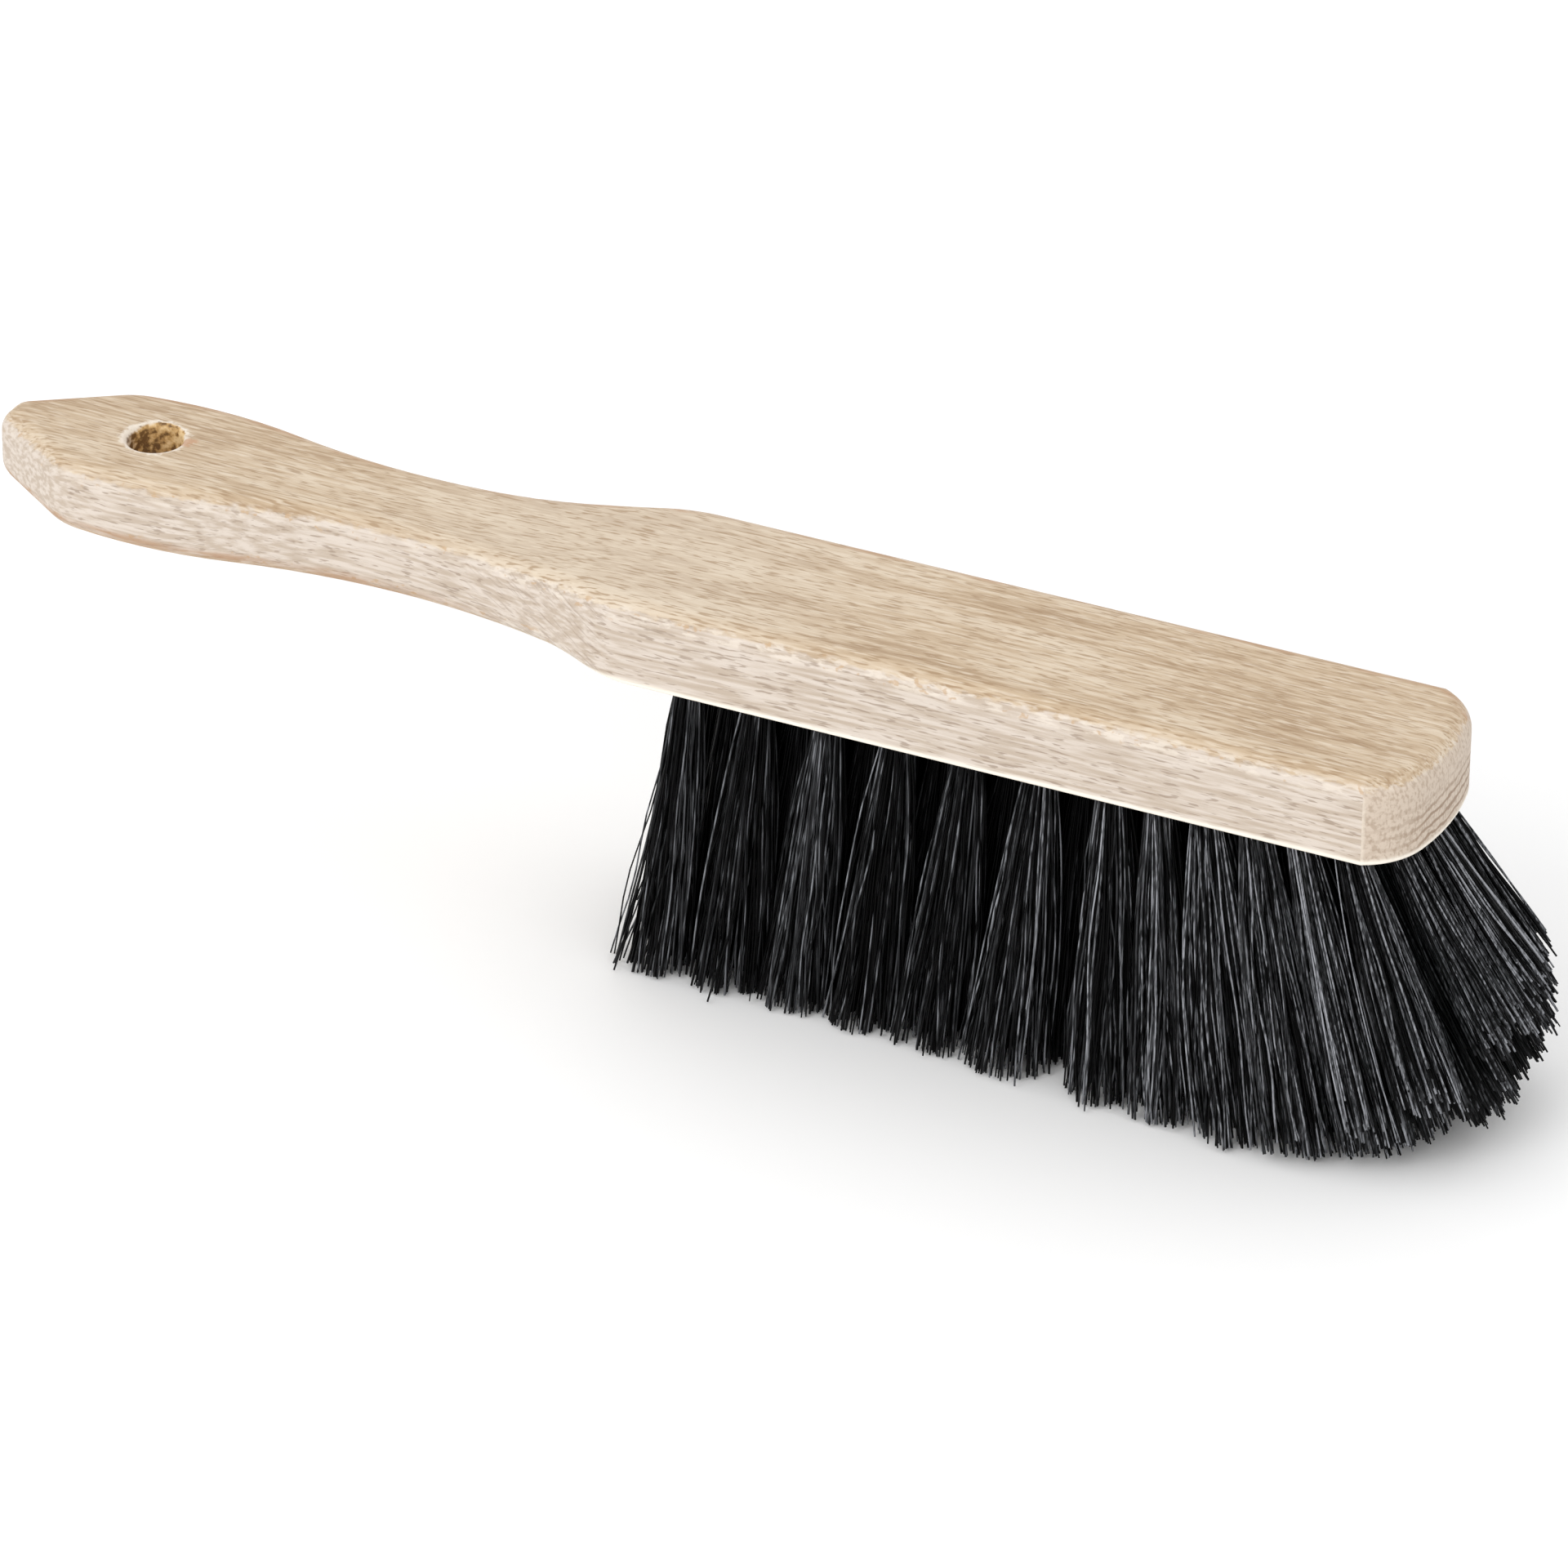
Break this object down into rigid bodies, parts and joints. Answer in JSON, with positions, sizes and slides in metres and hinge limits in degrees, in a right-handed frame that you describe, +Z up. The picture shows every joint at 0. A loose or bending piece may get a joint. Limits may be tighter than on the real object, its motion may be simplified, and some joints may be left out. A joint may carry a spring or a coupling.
{
  "type": "hand broom",
  "caption": "Wooden hand broom: flat beech stock with a bulged grip and hanging hole, and dark bristle tufts that fan out at the nose.",
  "frame": {"origin": "centre of the overall box in plan, on the surface that the bristle tips stand on", "axes": "+X along the stock from the handle to the nose, +Y to the left side, +Z up along the hanging hole"},
  "size_m": [0.299, 0.0558, 0.074],
  "materials": {
    "beech": "raw sanded beech",
    "bristle": "satin dark bristle",
    "anchor_wire": "drawn flat wire"
  },
  "bodies": {
    "root": {"stock": "beech", "tuft_anchors": "anchor_wire", "tuft_centre_01": "bristle", "tuft_centre_02": "bristle", "tuft_centre_03": "bristle", "tuft_centre_04": "bristle", "tuft_centre_05": "bristle", "tuft_centre_06": "bristle", "tuft_centre_07": "bristle", "tuft_centre_08": "bristle", "tuft_centre_09": "bristle", "tuft_centre_10": "bristle", "tuft_centre_nose_01": "bristle", "tuft_left_inner_01": "bristle", "tuft_left_inner_02": "bristle", "tuft_left_inner_03": "bristle", "tuft_left_inner_04": "bristle", "tuft_left_inner_05": "bristle", "tuft_left_inner_06": "bristle", "tuft_left_inner_07": "bristle", "tuft_left_inner_08": "bristle", "tuft_left_inner_09": "bristle", "tuft_left_inner_10": "bristle", "tuft_left_nose_01": "bristle", "tuft_left_outer_01": "bristle", "tuft_left_outer_02": "bristle", "tuft_left_outer_03": "bristle", "tuft_left_outer_04": "bristle", "tuft_left_outer_05": "bristle", "tuft_left_outer_06": "bristle", "tuft_left_outer_07": "bristle", "tuft_left_outer_08": "bristle", "tuft_left_outer_09": "bristle", "tuft_left_outer_10": "bristle", "tuft_left_outer_11": "bristle", "tuft_left_outer_12": "bristle", "tuft_right_inner_01": "bristle", "tuft_right_inner_02": "bristle", "tuft_right_inner_03": "bristle", "tuft_right_inner_04": "bristle", "tuft_right_inner_05": "bristle", "tuft_right_inner_06": "bristle", "tuft_right_inner_07": "bristle", "tuft_right_inner_08": "bristle", "tuft_right_inner_09": "bristle", "tuft_right_inner_10": "bristle", "tuft_right_nose_01": "bristle", "tuft_right_outer_01": "bristle", "tuft_right_outer_02": "bristle", "tuft_right_outer_03": "bristle", "tuft_right_outer_04": "bristle", "tuft_right_outer_05": "bristle", "tuft_right_outer_06": "bristle", "tuft_right_outer_07": "bristle", "tuft_right_outer_08": "bristle", "tuft_right_outer_09": "bristle", "tuft_right_outer_10": "bristle", "tuft_right_outer_11": "bristle", "tuft_right_outer_12": "bristle"}
  },
  "joints": []
}
